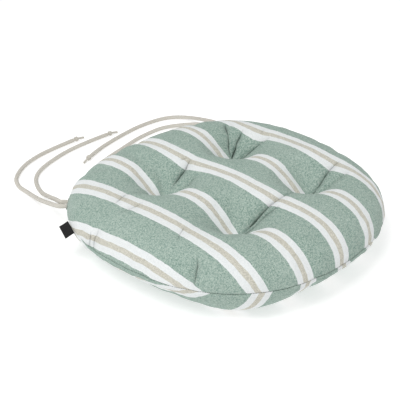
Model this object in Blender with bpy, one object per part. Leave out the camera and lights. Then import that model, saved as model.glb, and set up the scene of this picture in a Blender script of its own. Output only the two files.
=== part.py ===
"""A round tufted chair seat pad: two striped covers sewn at a knife edge over a fibre filling,
pulled in at four tufts, with a pair of cord ties at each back corner and a label in the left seam.

Metres, +Z up. The origin is the middle of the flat underside. The front of the seat is at -Y and
the ties leave the two back corners, at +Y.
"""
import math

import bmesh
import bpy
from mathutils import Matrix, Vector
from mathutils.bvhtree import BVHTree

# Outline and height of the pad
RADIUS = 0.200
BIAS_STRETCH = 0.029          # the woven cover stretches on its bias, towards the four corners
BACK_FLATTENING = 0.019       # the back edge is a little flatter than the front
HEIGHT = 0.080
SEAM_HEIGHT = 0.045
RIM_DEPTH = 0.050             # plan width of the rounded rim
SEAM_GAP = 0.0003             # between the edges of the two covers
SEAM_PINCH = 0.0016           # how far the sewn edge is drawn in
PINCH_HEIGHT = 0.0030

# Fabric, filling and thread
FABRIC_THICKNESS = 0.0010
FILLING_INSET = 0.0026
THREAD_DIAMETER = 0.0012
CLEARANCE = 0.0003

# Tufts
TUFT_CENTRE = Vector((0.012, -0.002))
TUFT_HALF_SPACING = 0.067
TOP_DIMPLE_DEPTH = 0.034
TOP_DIMPLE_RADIUS = 0.058
UNDER_DIMPLE_DEPTH = 0.018
UNDER_DIMPLE_RADIUS = 0.042
STITCH_HALF_WIDTH = 0.0020    # from the middle of a tuft to each leg of its thread loop
THREAD_HOLE_RADIUS = 0.0010
LOOP_CORNER_RADIUS = 0.0006

# Mesh grid
SEGMENTS = 48
THREAD_SIDES = 6
HOLE_SIDES = 8
KNOT_SIDES = 12
CORD_BEVEL_STEPS = 3
TAIL_BEVEL_STEPS = 2
CURVE_SUBDIVISIONS = 12
SMOOTH_ANGLE = 50.0           # edges flatter than this, in degrees, are shaded smooth
PANEL_SMOOTH_ANGLE = 80.0
CENTRE_RINGS = (0.025, 0.050, 0.072, 0.092, 0.112, 0.132)
RIM_ANGLES = (90.0, 66.0, 46.0, 29.0, 14.0, 5.0, 0.0)

# Ties
CORD_DIAMETER = 0.006
TAIL_DIAMETER = 0.0032
TAIL_LENGTH = 0.011
TAIL_DROP = 0.0022            # the core beyond the knot droops by this much
TAIL_STEP = 0.0037
KNOT_DIAMETER = 0.0080
KNOT_LENGTH = 0.0070
# Along the knot, as shares of its length, and its radius there, as shares of its largest radius
KNOT_PROFILE = ((0.0, 0.75), (0.18, 0.92), (0.40, 1.0), (0.62, 1.0), (0.84, 0.88), (1.0, 0.62))
CORD_STEP = 0.013
BARTACK_SIZE = (0.0016, 0.0210, 0.0050)
BARTACK_BEVEL = 0.0004
CORD_LEAD = 0.007             # a cord leaves the seam square for this far
TIE_ANGLES = {"left": 137.0, "right": 46.0}
TIE_HALF_SPACING = 0.0055     # between the two cords of a pair, along the seam
# Each route runs from the lead at the seam, down to the surface and along it, to the knot.
TIE_ROUTES = {
    "left_outer": (
        (-0.1600, 0.1780, 0.0345), (-0.1515, 0.2120, 0.0215), (-0.1430, 0.2430, 0.0110),
        (-0.1375, 0.2690, 0.0050), (-0.1350, 0.2930, 0.0032), (-0.1270, 0.3130, 0.0032),
        (-0.1125, 0.3285, 0.0032), (-0.0910, 0.3430, 0.0032), (-0.0620, 0.3530, 0.0032),
        (-0.0340, 0.3570, 0.0032), (-0.0065, 0.3580, 0.0035), (0.0115, 0.3575, 0.0042),
    ),
    "left_inner": (
        (-0.1500, 0.1760, 0.0370), (-0.1420, 0.2030, 0.0260), (-0.1320, 0.2355, 0.0140),
        (-0.1225, 0.2600, 0.0068), (-0.1145, 0.2780, 0.0036), (-0.1060, 0.2930, 0.0032),
        (-0.0930, 0.3065, 0.0032), (-0.0755, 0.3170, 0.0032), (-0.0510, 0.3260, 0.0032),
        (-0.0240, 0.3330, 0.0032), (-0.0010, 0.3360, 0.0032), (0.0205, 0.3370, 0.0032),
        (0.0430, 0.3365, 0.0035), (0.0625, 0.3350, 0.0042),
    ),
    "right_outer": (
        (0.1660, 0.1850, 0.0385), (0.1790, 0.2170, 0.0275), (0.1895, 0.2490, 0.0165),
        (0.1945, 0.2790, 0.0075), (0.1875, 0.3010, 0.0038), (0.1740, 0.3125, 0.0032),
        (0.1560, 0.3185, 0.0032), (0.1200, 0.3215, 0.0032), (0.0750, 0.3165, 0.0032),
        (0.0270, 0.3055, 0.0034), (-0.0070, 0.2925, 0.0042),
    ),
    "right_inner": (
        (0.1510, 0.1880, 0.0375), (0.1610, 0.2210, 0.0260), (0.1665, 0.2510, 0.0140),
        (0.1640, 0.2730, 0.0060), (0.1530, 0.2850, 0.0034), (0.1360, 0.2905, 0.0032),
        (0.0930, 0.2895, 0.0032), (0.0430, 0.2785, 0.0032), (0.0110, 0.2705, 0.0032),
        (-0.0120, 0.2625, 0.0032), (-0.0290, 0.2510, 0.0035), (-0.0385, 0.2385, 0.0042),
    ),
}

# Label
LABEL_ANGLE = 152.8
LABEL_SIZE = (0.0138, 0.0320, 0.0010)   # out from the seam, along it, thick
LABEL_DROOP = math.radians(26.0)
LABEL_BEVEL = 0.0002

ROUGHNESS = 0.9
COLOURS = {
    "striped_fabric": (0.46, 0.58, 0.50),
    "underside_fabric": (0.42, 0.54, 0.46),
    "polyester_fibre": (0.90, 0.90, 0.88),
    "sewing_thread": (0.45, 0.52, 0.48),
    "tie_cord": (0.66, 0.62, 0.54),
    "woven_label": (0.012, 0.012, 0.013),
}


def clear_scene():
    for old in list(bpy.data.objects):
        bpy.data.objects.remove(old, do_unlink=True)


def textile_material(name):
    """A matt, non-metallic textile in the named colour."""
    material = bpy.data.materials.new(name)
    material.use_nodes = True
    shader = material.node_tree.nodes["Principled BSDF"]
    shader.inputs["Base Color"].default_value = (*COLOURS[name], 1.0)
    shader.inputs["Roughness"].default_value = ROUGHNESS
    shader.inputs["Metallic"].default_value = 0.0
    return material


def add_object(name, mesh, material, smooth_angle=SMOOTH_ANGLE):
    """Links a mesh as one named, smooth-shaded sub-part."""
    mesh.materials.append(material)
    mesh.shade_smooth()
    mesh.set_sharp_from_angle(angle=math.radians(smooth_angle))
    piece = bpy.data.objects.new(name, mesh)
    bpy.context.collection.objects.link(piece)
    return piece


def mesh_from_bmesh(name, shape):
    mesh = bpy.data.meshes.new(name)
    shape.to_mesh(mesh)
    shape.free()
    return mesh


# ---------------------------------------------------------------- the pad's shape

def rim_radius(angle):
    """Plan radius of the seam at an angle from +X, in radians."""
    from_back = angle - math.pi / 2
    corners = BIAS_STRETCH * math.cos(4 * from_back)
    flat_back = BACK_FLATTENING * math.cos(3 * from_back)
    return RADIUS * (1 - corners - flat_back)


def rim_point(angle, outward=0.0):
    """The point on the seam at an angle, and the outward normal there in plan."""
    step = 1e-4
    before, after = (
        Vector((math.cos(a), math.sin(a), 0)) * rim_radius(a) for a in (angle - step, angle + step)
    )
    along = (after - before).normalized()
    normal = Vector((along.y, -along.x, 0))
    middle = Vector((math.cos(angle), math.sin(angle), 0)) * rim_radius(angle)
    middle.z = SEAM_HEIGHT
    return middle + normal * outward, normal


def tuft_centres():
    names = {"front": -1, "rear": 1}
    sides = {"left": -1, "right": 1}
    return {
        f"{row}_{side}": TUFT_CENTRE + Vector((sides[side], names[row])) * TUFT_HALF_SPACING
        for row in names
        for side in sides
    }


def dimple(x, y, depth, radius):
    """How far the four tufts pull the surface in at a point."""
    total = 0.0
    for centre in tuft_centres().values():
        away = math.hypot(x - centre.x, y - centre.y) / radius
        if away < 1:
            total += depth * (1 - away * away) ** 2
    return total


def surface_point(angle, ring, top, inset):
    """A grid point of the upper or lower surface, drawn in by the inset from the outside."""
    radius = rim_radius(angle)
    rim_start = radius - RIM_DEPTH
    swell = (HEIGHT - SEAM_HEIGHT if top else SEAM_HEIGHT) - inset
    if ring < len(CENTRE_RINGS):
        plan = CENTRE_RINGS[ring]
        rise = 1.0
    else:
        turn = math.radians(RIM_ANGLES[ring - len(CENTRE_RINGS)])
        plan = rim_start + (RIM_DEPTH - inset) * math.cos(turn)
        rise = math.sin(turn)
    x, y = plan * math.cos(angle), plan * math.sin(angle)
    return place(x, y, rise, swell, top, inset)


def place(x, y, rise, swell, top, inset):
    """Lifts a plan point to its surface, with the dimples and the drawn-in edge at the seam."""
    if top:
        pull = dimple(x, y, TOP_DIMPLE_DEPTH, TOP_DIMPLE_RADIUS)
    else:
        pull = dimple(x, y, UNDER_DIMPLE_DEPTH, UNDER_DIMPLE_RADIUS)
    up = rise * (swell - pull)
    if inset == 0 and rise < 0.5:
        up = max(up, SEAM_GAP / 2)
        drawn_in = SEAM_PINCH * math.exp(-((up / PINCH_HEIGHT) ** 2)) / math.hypot(x, y)
        x, y = x * (1 - drawn_in), y * (1 - drawn_in)
    return Vector((x, y, SEAM_HEIGHT + (up if top else -up)))


def add_surface(shape, top, inset=0.0):
    """Adds one surface's grid to a bmesh, facing away from the filling, and returns its rim."""
    rise = (HEIGHT - SEAM_HEIGHT if top else SEAM_HEIGHT) - inset
    centre = shape.verts.new(place(0.0, 0.0, 1.0, rise, top, inset))
    rings = []
    for ring in range(len(CENTRE_RINGS) + len(RIM_ANGLES)):
        angles = [math.tau * k / SEGMENTS for k in range(SEGMENTS)]
        rings.append([shape.verts.new(surface_point(a, ring, top, inset)) for a in angles])
    faces = []
    for k in range(SEGMENTS):
        nxt = (k + 1) % SEGMENTS
        faces.append((centre, rings[0][k], rings[0][nxt]))
        for inner, outer in zip(rings, rings[1:]):
            faces.append((inner[k], outer[k], outer[nxt], inner[nxt]))
    for face in faces:
        shape.faces.new(face if top else face[::-1])
    return rings[-1]


def thread_hole_cutter():
    """One guide object with a narrow post for every leg of the four tuft threads."""
    shape = bmesh.new()
    for centre in tuft_centres().values():
        for side in (-1, 1):
            post = Matrix.Translation((centre.x + side * STITCH_HALF_WIDTH, centre.y, HEIGHT / 2))
            bmesh.ops.create_cone(
                shape, cap_ends=True, segments=HOLE_SIDES, radius1=THREAD_HOLE_RADIUS,
                radius2=THREAD_HOLE_RADIUS, depth=2 * HEIGHT, matrix=post,
            )
    cutter = bpy.data.objects.new("thread_hole_guide", mesh_from_bmesh("thread_hole_guide", shape))
    bpy.context.collection.objects.link(cutter)
    cutter.hide_render = True
    cutter.display_type = "WIRE"
    return cutter


def cut_thread_holes(piece, cutter):
    cut = piece.modifiers.new("thread holes", "BOOLEAN")
    cut.operation = "DIFFERENCE"
    cut.object = cutter


# ---------------------------------------------------------------- covers, filling and threads

def make_cover(name, top, material, cutter):
    shape = bmesh.new()
    add_surface(shape, top)
    cover = add_object(name, mesh_from_bmesh(name, shape), material, PANEL_SMOOTH_ANGLE)
    cloth = cover.modifiers.new("fabric thickness", "SOLIDIFY")
    cloth.thickness = FABRIC_THICKNESS
    cloth.offset = -1.0
    cloth.use_even_offset = True
    cut_thread_holes(cover, cutter)
    return cover


def make_filling(material, cutter):
    shape = bmesh.new()
    upper = add_surface(shape, True, FILLING_INSET)
    lower = add_surface(shape, False, FILLING_INSET)
    for up, down in zip(upper, lower):
        bmesh.ops.pointmerge(shape, verts=(up, down), merge_co=(up.co + down.co) / 2)
    mesh = mesh_from_bmesh("fibre_filling", shape)
    filling = add_object("fibre_filling", mesh, material, PANEL_SMOOTH_ANGLE)
    cut_thread_holes(filling, cutter)
    return filling


def closed_strand(name, route, out_directions, up_directions, material):
    """A thread of THREAD_DIAMETER round a closed route, with a ring of corners at each point."""
    radius = THREAD_DIAMETER / 2
    shape = bmesh.new()
    loops = []
    for point, out, up in zip(route, out_directions, up_directions):
        loop = []
        for side in range(THREAD_SIDES):
            turn = math.tau * side / THREAD_SIDES
            offset = (out * math.cos(turn) + up * math.sin(turn)) * radius
            loop.append(shape.verts.new(point + offset))
        loops.append(loop)
    for k, loop in enumerate(loops):
        following = loops[(k + 1) % len(loops)]
        for side in range(THREAD_SIDES):
            other = (side + 1) % THREAD_SIDES
            shape.faces.new((loop[side], following[side], following[other], loop[other]))
    bmesh.ops.recalc_face_normals(shape, faces=shape.faces)
    return add_object(name, mesh_from_bmesh(name, shape), material)


def make_seam_thread(material):
    """The lockstitch that closes the rim, as one thread lying in the drawn-in groove."""
    count = 2 * SEGMENTS
    outward = -SEAM_PINCH + CLEARANCE + THREAD_DIAMETER / 2
    places = [rim_point(math.tau * k / count, outward) for k in range(count)]
    route = [middle for middle, _ in places]
    normals = [normal for _, normal in places]
    return closed_strand("edge_seam_thread", route, normals, [Vector((0, 0, 1))] * count, material)


def highest_near(cover, centre, top):
    """The outermost height of a cover's surface around a tuft's thread."""
    graph = bpy.context.evaluated_depsgraph_get()
    tree = BVHTree.FromObject(cover, graph)
    found = []
    reach = STITCH_HALF_WIDTH + THREAD_DIAMETER
    for dx in (-reach, 0.0, reach):
        for dy in (-THREAD_DIAMETER, 0.0, THREAD_DIAMETER):
            start = Vector((centre.x + dx, centre.y + dy, HEIGHT if top else -HEIGHT))
            hit = tree.ray_cast(start, Vector((0, 0, -1 if top else 1)))[0]
            found.append(hit.z)
    return max(found) if top else min(found)


def make_tuft_stitch(name, centre, covers, material):
    """A closed loop of thread through both covers: two legs, with a bridge above and below."""
    radius = THREAD_DIAMETER / 2
    high = highest_near(covers[0], centre, True) + CLEARANCE + radius
    low = highest_near(covers[1], centre, False) - CLEARANCE - radius
    half = STITCH_HALF_WIDTH
    corner = LOOP_CORNER_RADIUS
    route = []
    for x, z, turn in ((half, low, 270), (half, high, 0), (-half, high, 90), (-half, low, 180)):
        for step in (0, 1, 2):
            angle = math.radians(turn + 45 * step)
            inner = Vector((x - math.copysign(corner, x), 0, z + (corner if z == low else -corner)))
            route.append(inner + Vector((math.cos(angle), 0, math.sin(angle))) * corner)
    across = Vector((0, 1, 0))
    outs = []
    for k in range(len(route)):
        along = (route[(k + 1) % len(route)] - route[k - 1]).normalized()
        outs.append(along.cross(across))
    middle = Vector((centre.x, centre.y, 0))
    placed = [point + middle for point in route]
    return closed_strand(name, placed, [across] * len(route), outs, material)


# ---------------------------------------------------------------- ties and label

def smooth_line(points, step, lead_in=None):
    """Points a step apart along a smooth curve through the given points."""
    fine = []
    padded = [lead_in or 2 * points[0] - points[1], *points, 2 * points[-1] - points[-2]]
    for before, start, end, after in zip(padded, padded[1:], padded[2:], padded[3:]):
        knots = [0.0]
        for a, b in ((before, start), (start, end), (end, after)):
            knots.append(knots[-1] + math.sqrt((b - a).length))
        for k in range(CURVE_SUBDIVISIONS):
            t = knots[1] + (knots[2] - knots[1]) * k / CURVE_SUBDIVISIONS
            fine.append(catmull_rom(before, start, end, after, knots, t))
    fine.append(points[-1])
    lengths = [0.0]
    for a, b in zip(fine, fine[1:]):
        lengths.append(lengths[-1] + (b - a).length)
    count = max(2, round(lengths[-1] / step))
    line, k = [], 0
    for i in range(count + 1):
        goal = lengths[-1] * i / count
        while k < len(fine) - 2 and lengths[k + 1] < goal:
            k += 1
        share = (goal - lengths[k]) / (lengths[k + 1] - lengths[k])
        line.append(fine[k].lerp(fine[k + 1], min(share, 1.0)))
    return line


def catmull_rom(before, start, end, after, knots, t):
    """A point of the centripetal Catmull-Rom curve between start and end."""
    def mix(a, b, low, high):
        return a.lerp(b, (t - low) / (high - low))

    a1 = mix(before, start, knots[0], knots[1])
    a2 = mix(start, end, knots[1], knots[2])
    a3 = mix(end, after, knots[2], knots[3])
    b1 = mix(a1, a2, knots[0], knots[2])
    b2 = mix(a2, a3, knots[1], knots[3])
    return mix(b1, b2, knots[1], knots[2])


def make_tube(name, line, diameter, resolution, material):
    curve = bpy.data.curves.new(name, "CURVE")
    curve.dimensions = "3D"
    curve.bevel_depth = diameter / 2
    curve.bevel_resolution = resolution
    curve.use_fill_caps = True
    spline = curve.splines.new("POLY")
    spline.points.add(len(line) - 1)
    for point, place_at in zip(spline.points, line):
        point.co = (*place_at, 1.0)
    spline.use_smooth = True
    curve.materials.append(material)
    tube = bpy.data.objects.new(name, curve)
    bpy.context.collection.objects.link(tube)
    return tube


def make_knot(name, start, along, material):
    """A small barrel-shaped knot, as wide as the cord at its ends."""
    shape = bmesh.new()
    turns = [math.tau * k / KNOT_SIDES for k in range(KNOT_SIDES)]
    rings = []
    for along_share, radius_share in KNOT_PROFILE:
        radius, height = radius_share * KNOT_DIAMETER / 2, along_share * KNOT_LENGTH
        ring = [(math.cos(a) * radius, math.sin(a) * radius, height) for a in turns]
        rings.append([shape.verts.new(point) for point in ring])
    for low, high in zip(rings, rings[1:]):
        for k in range(KNOT_SIDES):
            other = (k + 1) % KNOT_SIDES
            shape.faces.new((low[k], low[other], high[other], high[k]))
    shape.faces.new(rings[0][::-1])
    shape.faces.new(rings[-1])
    knot = add_object(name, mesh_from_bmesh(name, shape), material)
    knot.location = start
    knot.rotation_mode = "QUATERNION"
    knot.rotation_quaternion = along.to_track_quat("Z", "Y")
    return knot


def make_tie(label, material):
    """One tie: the cord from the seam, the knot in its end and the thin core beyond the knot."""
    side, place_in_pair = label.split("_")
    outward = 2 * CLEARANCE + BARTACK_SIZE[0] + CLEARANCE
    middle, normal = rim_point(math.radians(TIE_ANGLES[side]), outward)
    along_seam = Vector((-normal.y, normal.x, 0))
    towards_front = 1 if side == "left" else -1
    offset = towards_front * (TIE_HALF_SPACING if place_in_pair == "outer" else -TIE_HALF_SPACING)
    start = middle + along_seam * offset
    lead = start + normal * CORD_LEAD
    route = [lead, *(Vector(point) for point in TIE_ROUTES[label])]
    line = [start, *smooth_line(route, CORD_STEP, start)]
    make_tube(f"tie_cord_{label}", line, CORD_DIAMETER, CORD_BEVEL_STEPS, material)
    along = (line[-1] - line[-2]).normalized()
    along.z = 0.0
    along.normalize()
    knot_start = line[-1] + along * CLEARANCE
    make_knot(f"tie_knot_{label}", knot_start, along, material)
    tail_start = knot_start + along * (KNOT_LENGTH + CLEARANCE)
    drop = Vector((0, 0, -TAIL_DROP))
    middle_of_tail = tail_start + along * 0.5 * TAIL_LENGTH + drop * 0.45
    tail = smooth_line([tail_start, middle_of_tail, tail_start + along * TAIL_LENGTH + drop], TAIL_STEP)
    make_tube(f"tie_tail_{label}", tail, TAIL_DIAMETER, TAIL_BEVEL_STEPS, material)


def make_block(name, centre, normal, size, tilt, bevel, material):
    """A small bevelled block: its first side lies along the normal and its second along the seam."""
    shape = bmesh.new()
    bmesh.ops.create_cube(shape, size=1.0)
    bmesh.ops.scale(shape, vec=size, verts=shape.verts)
    bmesh.ops.bevel(shape, geom=shape.edges[:], offset=bevel, segments=1, affect="EDGES")
    block = add_object(name, mesh_from_bmesh(name, shape), material)
    heading = math.atan2(normal.y, normal.x)
    block.matrix_world = (
        Matrix.Translation(centre)
        @ Matrix.Rotation(heading, 4, "Z")
        @ Matrix.Rotation(tilt, 4, "Y")
    )
    return block


def make_bartack(side, material):
    """The dense back-and-forth stitching that anchors one pair of ties to the seam."""
    outward = 2 * CLEARANCE + BARTACK_SIZE[0] / 2
    centre, normal = rim_point(math.radians(TIE_ANGLES[side]), outward)
    name = f"tie_bartack_{side}"
    return make_block(name, centre, normal, BARTACK_SIZE, 0.0, BARTACK_BEVEL, material)


def make_label(material):
    """A folded woven label caught in the seam, drooping from its sewn edge."""
    root, normal = rim_point(math.radians(LABEL_ANGLE), 3 * CLEARANCE)
    droop = normal * math.cos(LABEL_DROOP) - Vector((0, 0, math.sin(LABEL_DROOP)))
    centre = root + droop * (LABEL_SIZE[0] / 2)
    return make_block("side_label", centre, normal, LABEL_SIZE, LABEL_DROOP, LABEL_BEVEL, material)


def main():
    clear_scene()
    materials = {name: textile_material(name) for name in COLOURS}
    cutter = thread_hole_cutter()
    covers = (
        make_cover("top_cover", True, materials["striped_fabric"], cutter),
        make_cover("bottom_cover", False, materials["underside_fabric"], cutter),
    )
    make_filling(materials["polyester_fibre"], cutter)
    make_seam_thread(materials["sewing_thread"])
    for place_name, centre in tuft_centres().items():
        make_tuft_stitch(f"tuft_stitch_{place_name}", centre, covers, materials["sewing_thread"])
    for label in TIE_ROUTES:
        make_tie(label, materials["tie_cord"])
    for side in ("left", "right"):
        make_bartack(side, materials["sewing_thread"])
    make_label(materials["woven_label"])


main()
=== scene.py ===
"""The looks of a round, tufted, striped chair seat pad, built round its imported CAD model.

Metres, +Z up. The front of the seat is at -Y and the ties leave the two back corners, at +Y.
Each cover is a flat-cut panel. Its flat coordinates are kept in the UV map "cut", in metres, so
that stripes and weave follow the cloth wherever it is pulled.
"""
import math

import bpy
import numpy as np
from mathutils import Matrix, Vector, noise
from mathutils.bvhtree import BVHTree
from mathutils.geometry import delaunay_2d_cdt
from mathutils.interpolate import poly_3d_calc
from mathutils.kdtree import KDTree


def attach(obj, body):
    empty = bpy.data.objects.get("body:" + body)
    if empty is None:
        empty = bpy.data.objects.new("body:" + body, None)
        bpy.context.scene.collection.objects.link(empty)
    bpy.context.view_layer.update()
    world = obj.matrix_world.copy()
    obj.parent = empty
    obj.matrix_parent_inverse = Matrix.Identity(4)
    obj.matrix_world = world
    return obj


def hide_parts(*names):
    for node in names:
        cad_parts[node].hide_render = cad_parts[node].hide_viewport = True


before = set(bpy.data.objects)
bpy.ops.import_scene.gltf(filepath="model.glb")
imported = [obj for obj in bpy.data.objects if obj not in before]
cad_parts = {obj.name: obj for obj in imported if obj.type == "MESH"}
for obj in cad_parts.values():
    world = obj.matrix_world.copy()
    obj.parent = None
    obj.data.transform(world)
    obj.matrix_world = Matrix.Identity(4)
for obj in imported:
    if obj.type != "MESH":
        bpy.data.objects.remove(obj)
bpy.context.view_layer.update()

# ---------------------------------------------------------------- sizes shared with the CAD model

RADIUS = 0.200
BIAS_STRETCH = 0.029
BACK_FLATTENING = 0.019
SEAM_HEIGHT = 0.045
TOP_SWELL = 0.035
RIM_DEPTH = 0.050
CLEARANCE = 0.0003
TUFT_CENTRE = (0.012, -0.002)
TUFT_HALF_SPACING = 0.067
CORD_DIAMETER = 0.006
TAIL_DIAMETER = 0.0032
TAIL_LENGTH = 0.011
TAIL_DROP = 0.0022
KNOT_LENGTH = 0.0070
KNOT_DIAMETER = 0.0080
BARTACK_SIZE = (0.0016, 0.0210, 0.0050)
CORD_LEAD = 0.007
TIE_ANGLES = {"left": 137.0, "right": 46.0}
TIE_HALF_SPACING = 0.0055
TIE_ROUTES = {
    "left_outer": (
        (-0.1600, 0.1780, 0.0345), (-0.1515, 0.2120, 0.0215), (-0.1430, 0.2430, 0.0110),
        (-0.1375, 0.2690, 0.0050), (-0.1350, 0.2930, 0.0032), (-0.1270, 0.3130, 0.0032),
        (-0.1125, 0.3285, 0.0032), (-0.0910, 0.3430, 0.0032), (-0.0620, 0.3530, 0.0032),
        (-0.0340, 0.3570, 0.0032), (-0.0065, 0.3580, 0.0035), (0.0115, 0.3575, 0.0042),
    ),
    "left_inner": (
        (-0.1500, 0.1760, 0.0370), (-0.1420, 0.2030, 0.0260), (-0.1320, 0.2355, 0.0140),
        (-0.1225, 0.2600, 0.0068), (-0.1145, 0.2780, 0.0036), (-0.1060, 0.2930, 0.0032),
        (-0.0930, 0.3065, 0.0032), (-0.0755, 0.3170, 0.0032), (-0.0510, 0.3260, 0.0032),
        (-0.0240, 0.3330, 0.0032), (-0.0010, 0.3360, 0.0032), (0.0205, 0.3370, 0.0032),
        (0.0430, 0.3365, 0.0035), (0.0625, 0.3350, 0.0042),
    ),
    "right_outer": (
        (0.1660, 0.1850, 0.0385), (0.1790, 0.2170, 0.0275), (0.1895, 0.2490, 0.0165),
        (0.1945, 0.2790, 0.0075), (0.1875, 0.3010, 0.0038), (0.1740, 0.3125, 0.0032),
        (0.1560, 0.3185, 0.0032), (0.1200, 0.3215, 0.0032), (0.0750, 0.3165, 0.0032),
        (0.0270, 0.3055, 0.0034), (-0.0070, 0.2925, 0.0042),
    ),
    "right_inner": (
        (0.1510, 0.1880, 0.0375), (0.1610, 0.2210, 0.0260), (0.1665, 0.2510, 0.0140),
        (0.1640, 0.2730, 0.0060), (0.1530, 0.2850, 0.0034), (0.1360, 0.2905, 0.0032),
        (0.0930, 0.2895, 0.0032), (0.0430, 0.2785, 0.0032), (0.0110, 0.2705, 0.0032),
        (-0.0120, 0.2625, 0.0032), (-0.0290, 0.2510, 0.0035), (-0.0385, 0.2385, 0.0042),
    ),
}
LABEL_ANGLE = 152.8
LABEL_SIZE = (0.0138, 0.0320, 0.0010)
LABEL_DROOP = math.radians(26.0)


# ---------------------------------------------------------------- outline

def rim_radius(angle):
    """Plan radius of the seam at an angle from +X, in radians."""
    from_back = angle - math.pi / 2
    return RADIUS * (
        1 - BIAS_STRETCH * math.cos(4 * from_back) - BACK_FLATTENING * math.cos(3 * from_back)
    )


def rim_point(angle, outward=0.0):
    """The point on the seam at an angle, and the outward normal there in plan."""
    step = 1e-4
    before, after = (
        Vector((math.cos(a), math.sin(a), 0)) * rim_radius(a) for a in (angle - step, angle + step)
    )
    along = (after - before).normalized()
    normal = Vector((along.y, -along.x, 0))
    middle = Vector((math.cos(angle), math.sin(angle), 0)) * rim_radius(angle)
    middle.z = SEAM_HEIGHT
    return middle + normal * outward, normal


def tuft_places():
    """The four tufts in plan: front left, front right, rear left, rear right."""
    return [
        (TUFT_CENTRE[0] + sx * TUFT_HALF_SPACING, TUFT_CENTRE[1] + sy * TUFT_HALF_SPACING)
        for sy in (-1, 1)
        for sx in (-1, 1)
    ]


# ---------------------------------------------------------------- camera

VIEW_CENTRE = Vector((0.0, 0.0, 0.04))
VIEW_AZIMUTH = math.radians(-45.65)
VIEW_ELEVATION = math.radians(31.15)
VIEW_DISTANCE = 1.07
LENS_MM = 72.98
LENS_SHIFT = (-0.0694, 0.0085)


def make_camera():
    back = Vector((
        math.sin(VIEW_AZIMUTH) * math.cos(VIEW_ELEVATION),
        -math.cos(VIEW_AZIMUTH) * math.cos(VIEW_ELEVATION),
        math.sin(VIEW_ELEVATION),
    ))
    camera = bpy.data.objects.new("camera", bpy.data.cameras.new("camera"))
    bpy.context.scene.collection.objects.link(camera)
    camera.location = VIEW_CENTRE + back * VIEW_DISTANCE
    camera.rotation_euler = back.to_track_quat("Z", "Y").to_euler()
    camera.data.lens = LENS_MM
    camera.data.shift_x, camera.data.shift_y = LENS_SHIFT
    bpy.context.scene.camera = camera


make_camera()


# ---------------------------------------------------------------- mesh helpers

def add_mesh(name, points, faces, material=None, smooth=True):
    mesh = bpy.data.meshes.new(name)
    mesh.from_pydata([tuple(map(float, p)) for p in points], [], [tuple(map(int, f)) for f in faces])
    mesh.update()
    if material is not None:
        mesh.materials.append(material)
    if smooth:
        mesh.shade_smooth()
    piece = bpy.data.objects.new(name, mesh)
    bpy.context.scene.collection.objects.link(piece)
    return piece


def set_uv(mesh, name, per_vertex):
    """Adds a UV map that gives each vertex one place."""
    corners = np.zeros(len(mesh.loops), int)
    mesh.loops.foreach_get("vertex_index", corners)
    layer = mesh.uv_layers.new(name=name)
    layer.data.foreach_set("uv", np.asarray(per_vertex, float)[corners].ravel())


def catmull_rom(before, start, end, after, knots, t):
    """A point of the centripetal Catmull-Rom curve between start and end."""
    def mix(a, b, low, high):
        return a.lerp(b, (t - low) / (high - low))

    a1 = mix(before, start, knots[0], knots[1])
    a2 = mix(start, end, knots[1], knots[2])
    a3 = mix(end, after, knots[2], knots[3])
    b1 = mix(a1, a2, knots[0], knots[2])
    b2 = mix(a2, a3, knots[1], knots[3])
    return mix(b1, b2, knots[1], knots[2])


def smooth_line(points, step, lead_in=None):
    """Points a step apart along a smooth curve through the given points."""
    fine = []
    padded = [lead_in or 2 * points[0] - points[1], *points, 2 * points[-1] - points[-2]]
    for before, start, end, after in zip(padded, padded[1:], padded[2:], padded[3:]):
        knots = [0.0]
        for a, b in ((before, start), (start, end), (end, after)):
            knots.append(knots[-1] + math.sqrt((b - a).length))
        for k in range(24):
            t = knots[1] + (knots[2] - knots[1]) * k / 24
            fine.append(catmull_rom(before, start, end, after, knots, t))
    fine.append(points[-1])
    return respaced(fine, step)


def respaced(fine, step):
    """Points an even step apart along a polyline."""
    line = np.array([tuple(p) for p in fine])
    lengths = np.concatenate([[0.0], np.cumsum(np.linalg.norm(np.diff(line, axis=0), axis=1))])
    count = max(2, round(lengths[-1] / step))
    goals = np.linspace(0.0, lengths[-1], count + 1)
    return np.stack([np.interp(goals, lengths, line[:, k]) for k in range(3)], axis=1)


def frames_along(line, closed=False):
    """Tangent, side and up vectors that don't twist along a line of points."""
    if closed:
        tangents = np.roll(line, -1, axis=0) - np.roll(line, 1, axis=0)
    else:
        tangents = np.gradient(line, axis=0)
    tangents /= np.linalg.norm(tangents, axis=1)[:, None]
    side = np.cross(tangents[0], (0.0, 0.0, 1.0))
    if np.linalg.norm(side) < 0.1:
        side = np.array((1.0, 0.0, 0.0))
    sides = []
    for tangent in tangents:
        side = side - tangent * (side @ tangent)
        side = side / np.linalg.norm(side)
        sides.append(side)
    sides = np.array(sides)
    return tangents, sides, np.cross(sides, tangents)


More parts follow.
